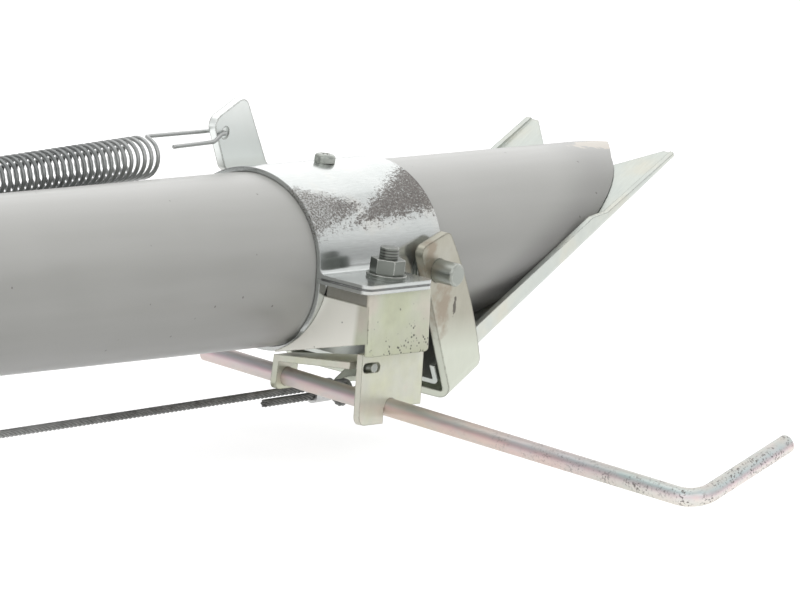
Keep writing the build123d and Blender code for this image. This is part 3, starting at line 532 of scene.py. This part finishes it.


# Iridescent passivated rod with dark specks towards its outer end, and painted shade darkening its upper
# side
def rod_material():
    clouds = (
        (0.28, (0.72, 0.58, 0.60)),
        (0.40, (0.76, 0.70, 0.62)),
        (0.50, (0.62, 0.69, 0.67)),
        (0.60, (0.76, 0.68, 0.66)),
        (0.72, (0.66, 0.68, 0.69)),
    )
    stages = (
        (0.0, (0.74, 0.67, 0.69)),
        (0.22, (0.61, 0.53, 0.46)),
        (0.45, (0.66, 0.54, 0.53)),
        (0.62, (0.62, 0.54, 0.56)),
        (0.80, (0.58, 0.65, 0.62)),
        (1.0, (0.86, 0.87, 0.86)),
    )
    film_and_shade = (
        (0.0, (1.0, 0.96, 0.88)),
        (0.42, (1.0, 0.92, 0.90)),
        (0.58, (0.96, 0.82, 0.86)),
        (0.78, (0.68, 0.74, 0.76)),
        (1.0, (0.70, 0.67, 0.64)),
    )
    speck_brown = (0.11, 0.095, 0.09)
    legs_out = -0.040
    rod_end = -0.228
    specks_begin = -0.085
    specks_full = -0.20
    mat, tree, bsdf = start_material("rod_zinc")
    plain = object_coords(tree)
    base = ramp(tree, noise(tree, object_coords(tree, (2.2, 1.0, 2.2)), scale=34.0), clouds)
    out = split_xyz(tree, plain)[1]
    lengthwise = fade(tree, out, legs_out, rod_end)
    base = mix_colour(tree, 0.65, base, ramp(tree, lengthwise, stages))
    # Painted shade: the film's tints darken the upward-facing side and pale the underside
    facing = tree.nodes.new("ShaderNodeTexCoord")
    upward = fade(tree, split_xyz(tree, facing.outputs["Normal"])[2], -1.0, 1.0)
    base = mix_colour(tree, 1.0, base, ramp(tree, upward, film_and_shade), "MULTIPLY")
    dots = fade(tree, noise(tree, plain, scale=900.0, rough=0.6), 0.53, 0.61, most=0.85)
    clumps = fade(tree, noise(tree, plain, scale=120.0), 0.40, 0.60)
    specks = product(tree, dots, clumps, fade(tree, out, specks_begin, specks_full))
    base = mix_colour(tree, specks, base, speck_brown)
    tree.links.new(base, bsdf.inputs["Base Color"])
    grain = noise(tree, object_coords(tree, (9.0, 1.0, 9.0)), scale=130.0, detail=4.0)
    tree.links.new(spread(tree, grain, 0.36, 0.50), bsdf.inputs["Roughness"])
    bsdf.inputs["Metallic"].default_value = 0.75
    bump(tree, bsdf, grain, strength=0.10, distance=0.00015)
    return mat


# Drawn wire and alloy, rubbed bright from one place along the tube to another if these are given
def wire_material(name, dark, light, rough, rubbed=None):
    bright_steel = (0.50, 0.51, 0.50)
    mat, tree, bsdf = start_material(name)
    plain = object_coords(tree)
    cloud = noise(tree, plain, scale=300.0, detail=4.0)
    base = ramp(tree, cloud, ((NOISE_LOW, dark), (NOISE_HIGH, light)))
    if rubbed is not None:
        begins, full = rubbed
        share = fade(tree, split_xyz(tree, plain)[0], begins, full, most=0.75)
        base = mix_colour(tree, share, base, bright_steel)
    tree.links.new(base, bsdf.inputs["Base Color"])
    tree.links.new(spread(tree, cloud, *rough), bsdf.inputs["Roughness"])
    bsdf.inputs["Metallic"].default_value = 0.9
    bump(tree, bsdf, noise(tree, plain, scale=1500.0, detail=2.0), strength=0.12, distance=0.0001)
    return mat


# Spring wire, brighter towards the ear
def spring_material():
    dark = (0.15, 0.157, 0.156)
    light = (0.29, 0.30, 0.298)
    rubbed = (-0.150, -0.085)
    return wire_material("spring_wire", dark, light, (0.28, 0.40), rubbed)


# Steel rope, brighter towards the handle
def rope_material():
    dark = (0.12, 0.12, 0.115)
    light = (0.27, 0.27, 0.26)
    rubbed = (-0.150, -0.30)
    return wire_material("wire_rope", dark, light, (0.36, 0.50), rubbed)


# Pale alloy of the crimped sleeves
def ferrule_material():
    dark = (0.50, 0.50, 0.50)
    light = (0.66, 0.66, 0.65)
    return wire_material("ferrule_alloy", dark, light, (0.32, 0.46))


# Black ribbed grip rubber
def rubber_material():
    blacks = ((NOISE_LOW, (0.018, 0.018, 0.019)), (NOISE_HIGH, (0.034, 0.033, 0.032)))
    rib_scale = 55.0
    mat, tree, bsdf = start_material("grip_rubber")
    plain = object_coords(tree)
    cloud = noise(tree, plain, scale=60.0, detail=4.0)
    tree.links.new(ramp(tree, cloud, blacks), bsdf.inputs["Base Color"])
    tree.links.new(spread(tree, cloud, 0.55, 0.75), bsdf.inputs["Roughness"])
    bump(tree, bsdf, wave_bands(tree, plain, "Y", rib_scale), strength=0.5, distance=0.0008)
    return mat


# Tubes swept along a list of points
def along_path(points, step):
    kept = [points[0]]
    for a, b in zip(points, points[1:]):
        count = max(1, int((b - a).length / step))
        for i in range(1, count + 1):
            kept.append(a.lerp(b, i / count))
    return kept


def carried_frames(points):
    tangents = []
    for i in range(len(points)):
        a = points[max(0, i - 1)]
        b = points[min(len(points) - 1, i + 1)]
        tangents.append((b - a).normalized())
    side = tangents[0].orthogonal().normalized()
    frames = []
    for point, tangent in zip(points, tangents):
        side = (side - tangent * side.dot(tangent)).normalized()
        frames.append((point, side, tangent.cross(side)))
    return frames


def sweep(points, radius, sides, verts, faces):
    start = len(verts)
    rings = carried_frames(points)
    for point, side, up in rings:
        for k in range(sides):
            a = 2 * math.pi * k / sides
            verts.append(point + (side * math.cos(a) + up * math.sin(a)) * radius)
    for i in range(len(rings) - 1):
        for k in range(sides):
            a = start + i * sides + k
            b = start + i * sides + (k + 1) % sides
            faces.append((a, b, b + sides, a + sides))
    faces.append(tuple(start + k for k in reversed(range(sides))))
    last = start + (len(rings) - 1) * sides
    faces.append(tuple(last + k for k in range(sides)))


def mesh_piece(name, verts, faces, material, smooth=True):
    mesh = bpy.data.meshes.new(name)
    mesh.from_pydata([tuple(v) for v in verts], [], faces)
    mesh.polygons.foreach_set("use_smooth", [smooth] * len(mesh.polygons))
    mesh.materials.append(material)
    mesh.update()
    piece = bpy.data.objects.new(name, mesh)
    bpy.context.scene.collection.objects.link(piece)
    return piece


# Smooth curve between two points with given headings
def eased(p0, t0, p1, t1, count):
    reach = (p1 - p0).length
    found = []
    for i in range(count + 1):
        s = i / count
        h00 = 2 * s ** 3 - 3 * s ** 2 + 1
        h10 = s ** 3 - 2 * s ** 2 + s
        h01 = 3 * s ** 2 - 2 * s ** 3
        h11 = s ** 3 - s ** 2
        found.append(p0 * h00 + t0 * (h10 * reach) + p1 * h01 + t1 * (h11 * reach))
    return found


def half_turn(centre, first, second, count):
    found = []
    for i in range(count + 1):
        a = math.pi * i / count
        found.append(centre + first * math.cos(a) + second * math.sin(a))
    return found


# Return spring: hook through the ear, open coil, hook round its screw
WIRE_R = 0.9
WIRE_SIDES = 9
WIRE_STEP = 1.4
COIL_R = 8.7
COIL_PITCH = 4.52
COIL_TURNS = 37
COIL_FALL = 0.043
COIL_START = Vector((-98.4, 43.5, 37.017))
COIL_STEP = math.radians(14)
COIL_EASE = math.radians(70)
EAR_X = -46.232
EAR_Z = 45.025
EAR_PLAY = 0.5
FAR_WIRE = 46.9
NEAR_WIRE = 40.1
HOOK_AT = Vector((-293.46, 43.5, 28.63))
HOOK_RING = 3.65
HOOK_RUN = 6
HOOK_DROP = 0.8
HOOK_TAIL = 9
TAIL_RUN = 34
TAIL_BEND = 7
TAIL_FALL = 3.2
TAIL_DIP = 0.6
TAIL_STEPS = 6
EASE_STEPS = 12
TURN_STEPS = 14


def spring_points():
    axis = Vector((-1.0, 0.0, -COIL_FALL)).normalized()
    across = Vector((0.0, 1.0, 0.0))
    up = Vector((-COIL_FALL, 0.0, 1.0)).normalized()
    first = math.acos((FAR_WIRE - COIL_START.y) / COIL_R)
    hook_angle = math.atan2(HOOK_AT.z, HOOK_AT.y)
    cross = Vector((0.0, -math.sin(hook_angle), math.cos(hook_angle)))
    begin = first + COIL_EASE
    end = 2 * math.pi * COIL_TURNS + hook_angle + math.pi / 2 - COIL_EASE

    def coil(a):
        run = COIL_PITCH * (a - first) / (2 * math.pi)
        return COIL_START + axis * run + across * (COIL_R * math.cos(a)) + up * (COIL_R * math.sin(a))

    def heading(a):
        lead = axis * (COIL_PITCH / (2 * math.pi))
        return (lead - across * (COIL_R * math.sin(a)) + up * (COIL_R * math.cos(a))).normalized()

    turn_r = (FAR_WIRE - NEAR_WIRE) / 2
    turn_x = EAR_X - turn_r + EAR_PLAY
    middle = Vector((turn_x, (FAR_WIRE + NEAR_WIRE) / 2, EAR_Z))
    tail = Vector((turn_x - TAIL_RUN, NEAR_WIRE, EAR_Z - TAIL_FALL - TAIL_DIP))
    tail_end = Vector((turn_x - TAIL_BEND, NEAR_WIRE, EAR_Z - TAIL_FALL))
    near = Vector((turn_x, NEAR_WIRE, EAR_Z))
    far = Vector((turn_x, FAR_WIRE, EAR_Z))
    hook_in = Vector((COIL_START.x + HOOK_RUN, FAR_WIRE, EAR_Z))
    points = [tail]
    points += eased(tail_end, (tail_end - tail).normalized(), near, Vector((1, 0, 0)), TAIL_STEPS)
    points += half_turn(middle, Vector((0, -turn_r, 0)), Vector((turn_r, 0, 0)), TURN_STEPS)[1:]
    points.append(far + (hook_in - far) * 0.5)
    points += eased(hook_in, (hook_in - far).normalized(), coil(begin), heading(begin), EASE_STEPS)
    count = int((end - begin) / COIL_STEP)
    points += [coil(begin + (end - begin) * i / count) for i in range(1, count + 1)]
    coil_end = COIL_START + axis * (COIL_PITCH * (end - first) / (2 * math.pi))
    leave = coil_end + axis * HOOK_RUN + cross * (COIL_R - HOOK_DROP)
    points += eased(coil(end), heading(end), leave, axis, EASE_STEPS)[1:]
    points.append(HOOK_AT + cross * HOOK_RING)
    points += half_turn(HOOK_AT, cross * HOOK_RING, axis * HOOK_RING, TURN_STEPS)[1:]
    points.append(HOOK_AT - cross * HOOK_RING - axis * HOOK_TAIL)
    return [p * MM for p in points]


# Pull cable: a rope of six strands, looped round the jaw tab and the finger bar
CABLE_R = 1.8
TAB_LOOP_R = 4.4
BAR_LOOP_R = 8.1
TAB_AT = Vector((4.797, 0.0, -63.211))
BAR_AT = Vector((-661.506, 0.0, -66.2))
DOUBLE_GAP = 4.05
DOUBLE_RUN = 46.0
LOOP_ANGLE = 40.0
LOOP_BEND = 6.0
LOOP_STEPS = 24
BEND_STEPS = 8
STRANDS = 6
STRAND_R = 0.60
STRAND_SIDES = 7
CORE_SIDES = 6
LAY = 17.0
ROPE_STEP = 0.9


def cable_points():
    gap = BAR_AT - TAB_AT
    step = TAB_LOOP_R + BAR_LOOP_R
    run = math.sqrt(gap.x ** 2 + gap.z ** 2 - step ** 2)
    turned = math.atan2(gap.z, gap.x) - math.atan2(step, -run)
    u_axis = Vector((math.cos(turned), 0.0, math.sin(turned)))
    w_axis = Vector((-math.sin(turned), 0.0, math.cos(turned)))
    top = TAB_AT + w_axis * TAB_LOOP_R

    def at(u, w):
        return top + u_axis * u + w_axis * w

    def loop(r, sign, u0):
        g = math.radians(LOOP_ANGLE)
        found = []
        for i in range(LOOP_STEPS + 1):
            a = (math.pi + g) * i / LOOP_STEPS
            found.append(at(u0 + sign * r * math.sin(a), -sign * r * (1 - math.cos(a))))
        rise = r * (1 + math.cos(g)) - DOUBLE_GAP - LOOP_BEND * (1 - math.cos(g))
        line = rise / math.sin(g)
        u = u0 - sign * r * math.sin(g) - sign * line * math.cos(g)
        w = -sign * r * (1 + math.cos(g)) + sign * line * math.sin(g)
        for i in range(BEND_STEPS + 1):
            a = g * (1 - i / BEND_STEPS)
            along = LOOP_BEND * (math.sin(g) - math.sin(a))
            lift = LOOP_BEND * (math.cos(a) - math.cos(g))
            found.append(at(u - sign * along, w + sign * lift))
        end_u = u - sign * LOOP_BEND * math.sin(g)
        found.append(at(end_u - sign * DOUBLE_RUN, -sign * DOUBLE_GAP))
        return found

    low = loop(TAB_LOOP_R, 1, 0.0)
    high = loop(BAR_LOOP_R, -1, -run)
    return [p * MM for p in low[::-1] + high]


def rope_mesh(points):
    verts = []
    faces = []
    path = along_path(points, ROPE_STEP * MM)
    frames = carried_frames(path)
    travelled = [0.0]
    for a, b in zip(path, path[1:]):
        travelled.append(travelled[-1] + (b - a).length)
    strand_r = STRAND_R * MM
    reach = CABLE_R * MM - strand_r
    for k in range(STRANDS):
        strand = []
        for (point, side, up), run in zip(frames, travelled):
            a = 2 * math.pi * (k / STRANDS + run / (LAY * MM))
            strand.append(point + (side * math.cos(a) + up * math.sin(a)) * reach)
        sweep(strand, strand_r, STRAND_SIDES, verts, faces)
    sweep(path, strand_r, CORE_SIDES, verts, faces)
    return verts, faces


# Materials on the nodes, first by their slots and then the nodes with marks of their own
SIDES = ("_near", "_far")
spring_mat = spring_material()
rope_mat = rope_material()
pin_mat = pin_material()
by_slot = {
    "tube_plastic": tube_material(),
    "band_zinc": band_material(),
    "bracket_zinc": bracket_material(),
    "bolt_zinc": bolt_material(),
    "rod_zinc": rod_material(),
    "spring_wire": spring_mat,
    "wire_rope": rope_mat,
    "ferrule_alloy": ferrule_material(),
    "grip_rubber": rubber_material(),
}
for entry in frame["record"]["subparts"]:
    dress([entry["node"]], by_slot[entry["material_slot"]])
dress(["jaw_tongue"], tongue_material())
dress(["jaw_yoke"], yoke_material())
dress(["stay_bracket"], stay_material())
dress([pin + side for pin in ("pivot_pin", "lever_pin") for side in SIDES], pin_mat)
dress(["collar_screw", "bracket_screw"], pin_mat)
dress([clamp + side for clamp in ("collar_bolt", "handle_bolt") for side in SIDES], stud_material())

verts = []
faces = []
sweep(along_path(spring_points(), WIRE_STEP * MM), WIRE_R * MM, WIRE_SIDES, verts, faces)
spring = mesh_piece("coil_spring", verts, faces, spring_mat)
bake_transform(spring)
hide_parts("return_spring")

verts, faces = rope_mesh(cable_points())
rope = mesh_piece("stranded_cable", verts, faces, rope_mat)
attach(rope, "cable")
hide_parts("pull_cable")

# Folded top edge of the stay's left wall, under the near flange
LIP_X = (-69.7, -68.4)
LIP_Y = (-61.8, -39.6)
LIP_Z = (-8.1, -2.7)


def lip_mesh():
    corners = [(x, y, z) for x in LIP_X for y in LIP_Y for z in LIP_Z]
    faces = [(0, 1, 3, 2), (4, 6, 7, 5), (0, 4, 5, 1), (2, 3, 7, 6), (0, 2, 6, 4), (1, 5, 7, 3)]
    return [Vector(corner) * MM for corner in corners], faces


verts, faces = lip_mesh()
lip = mesh_piece("stay_lip", verts, faces, lip_shade_material(), smooth=False)
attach(lip, "frame")

# Floor just under the object, pale to the eye and to mirrors, and duller where it throws light back
FLOOR_HALF = 14.0
FLOOR_GAP = 0.0005
FLOOR_THROWN = (0.60, 0.60, 0.60, 1.0)
FLOOR_SHOWN = (0.42, 0.42, 0.42, 1.0)
FLOOR_GLOW = 0.76


def floor_material():
    mat = bpy.data.materials.new("floor")
    mat.use_nodes = True
    tree = mat.node_tree
    tree.nodes.clear()
    out = tree.nodes.new("ShaderNodeOutputMaterial")
    thrown = tree.nodes.new("ShaderNodeBsdfDiffuse")
    thrown.inputs["Color"].default_value = FLOOR_THROWN
    shown = tree.nodes.new("ShaderNodeBsdfDiffuse")
    shown.inputs["Color"].default_value = FLOOR_SHOWN
    glow = tree.nodes.new("ShaderNodeEmission")
    glow.inputs["Strength"].default_value = FLOOR_GLOW
    both = tree.nodes.new("ShaderNodeAddShader")
    path = tree.nodes.new("ShaderNodeLightPath")
    seen = math_node(tree, "MAXIMUM", path.outputs["Is Camera Ray"], path.outputs["Is Glossy Ray"])
    seen = math_node(tree, "MAXIMUM", seen, path.outputs["Is Transmission Ray"])
    pick = tree.nodes.new("ShaderNodeMixShader")
    tree.links.new(shown.outputs[0], both.inputs[0])
    tree.links.new(glow.outputs[0], both.inputs[1])
    tree.links.new(seen, pick.inputs[0])
    tree.links.new(thrown.outputs[0], pick.inputs[1])
    tree.links.new(both.outputs[0], pick.inputs[2])
    tree.links.new(pick.outputs[0], out.inputs["Surface"])
    return mat


def floor_piece():
    floor_z = cad_lo[2] - FLOOR_GAP
    corners = [(x * FLOOR_HALF, y * FLOOR_HALF, floor_z) for x, y in ((-1, -1), (1, -1), (1, 1), (-1, 1))]
    mesh = bpy.data.meshes.new("floor")
    mesh.from_pydata(corners, [], [(0, 1, 2, 3)])
    mesh.materials.append(floor_material())
    piece = bpy.data.objects.new("floor", mesh)
    bpy.context.scene.collection.objects.link(piece)
    return piece


floor = floor_piece()

# Studio: a pale room, brighter above and behind, and four soft lamps
ROOM_BRIGHT_SIDE = (0.551, 0.150, 0.821)
ROOM_STRENGTH = 1.2
ROOM_LEVELS = ((0.0, 0.54), (0.5, 0.54), (0.70, 0.48), (0.74, 0.53), (0.82, 0.95), (0.88, 1.0), (1.0, 0.96))
LAMP_AIM = Vector((-0.05, 0.0, 0.0))
LAMPS = (
    ("key_lamp", (-0.5, 0.6, 1.9), 1.5, 6.2),
    ("fill_lamp", (-0.9, -1.6, 1.1), 1.2, 5.4),
    ("side_lamp", (2.1, 0.9, 0.95), 1.8, 4.9),
    ("left_lamp", (-2.2, -0.3, 0.9), 1.5, 9.0),
)


def studio_world():
    world = bpy.data.worlds.new("studio")
    bpy.context.scene.world = world
    world.use_nodes = True
    tree = world.node_tree
    tree.nodes.clear()
    out = tree.nodes.new("ShaderNodeOutputWorld")
    coord = tree.nodes.new("ShaderNodeTexCoord")
    level = fade(tree, dot_product(tree, coord.outputs["Generated"], ROOM_BRIGHT_SIDE), -1.0, 1.0)
    shades = [(place, (value, value, value)) for place, value in ROOM_LEVELS]
    room = tree.nodes.new("ShaderNodeBackground")
    tree.links.new(ramp(tree, level, shades), room.inputs["Color"])
    room.inputs["Strength"].default_value = ROOM_STRENGTH
    white = tree.nodes.new("ShaderNodeBackground")
    white.inputs["Color"].default_value = (1.0, 1.0, 1.0, 1.0)
    path = tree.nodes.new("ShaderNodeLightPath")
    seen = math_node(tree, "MAXIMUM", path.outputs["Is Camera Ray"], path.outputs["Is Transmission Ray"])
    pick = tree.nodes.new("ShaderNodeMixShader")
    tree.links.new(seen, pick.inputs[0])
    tree.links.new(room.outputs[0], pick.inputs[1])
    tree.links.new(white.outputs[0], pick.inputs[2])
    tree.links.new(pick.outputs[0], out.inputs["Surface"])


def lamp(name, place, size, power):
    data = bpy.data.lights.new(name, "AREA")
    data.size = size
    data.energy = power
    obj = bpy.data.objects.new(name, data)
    obj.location = place
    obj.rotation_euler = (LAMP_AIM - Vector(place)).to_track_quat("-Z", "Y").to_euler()
    bpy.context.scene.collection.objects.link(obj)


studio_world()
for name, place, size, power in LAMPS:
    lamp(name, place, size, power)

# Camera at the photograph's view
CAM_AZ = math.radians(-54.14)
CAM_EL = math.radians(9.92)
CAM_ROLL = math.radians(7.34)
CAM_DISTANCE = 5.07952
CAM_RIGHT = 0.06531
CAM_DOWN = 0.01697
CAM_TARGET = Vector((-0.0762, 0.0, 0.0))
CAM_LENS = 540.0
CAM_SENSOR = 36.0
CAM_FAR = 100.0


def photo_camera():
    back = Vector((
        math.sin(CAM_AZ) * math.cos(CAM_EL),
        -math.cos(CAM_AZ) * math.cos(CAM_EL),
        math.sin(CAM_EL),
    ))
    flat = Vector((math.cos(CAM_AZ), math.sin(CAM_AZ), 0.0))
    rise = back.cross(flat)
    right = flat * math.cos(CAM_ROLL) + rise * math.sin(CAM_ROLL)
    up = rise * math.cos(CAM_ROLL) - flat * math.sin(CAM_ROLL)
    data = bpy.data.cameras.new("photo_camera")
    data.lens = CAM_LENS
    data.sensor_width = CAM_SENSOR
    data.clip_end = CAM_FAR
    obj = bpy.data.objects.new("photo_camera", data)
    place = CAM_TARGET + back * CAM_DISTANCE + right * CAM_RIGHT - up * CAM_DOWN
    axes = Matrix((right, up, back)).transposed()
    obj.matrix_world = Matrix.Translation(place) @ axes.to_4x4()
    bpy.context.scene.collection.objects.link(obj)
    bpy.context.scene.camera = obj


photo_camera()
bpy.context.scene.view_settings.view_transform = "Standard"
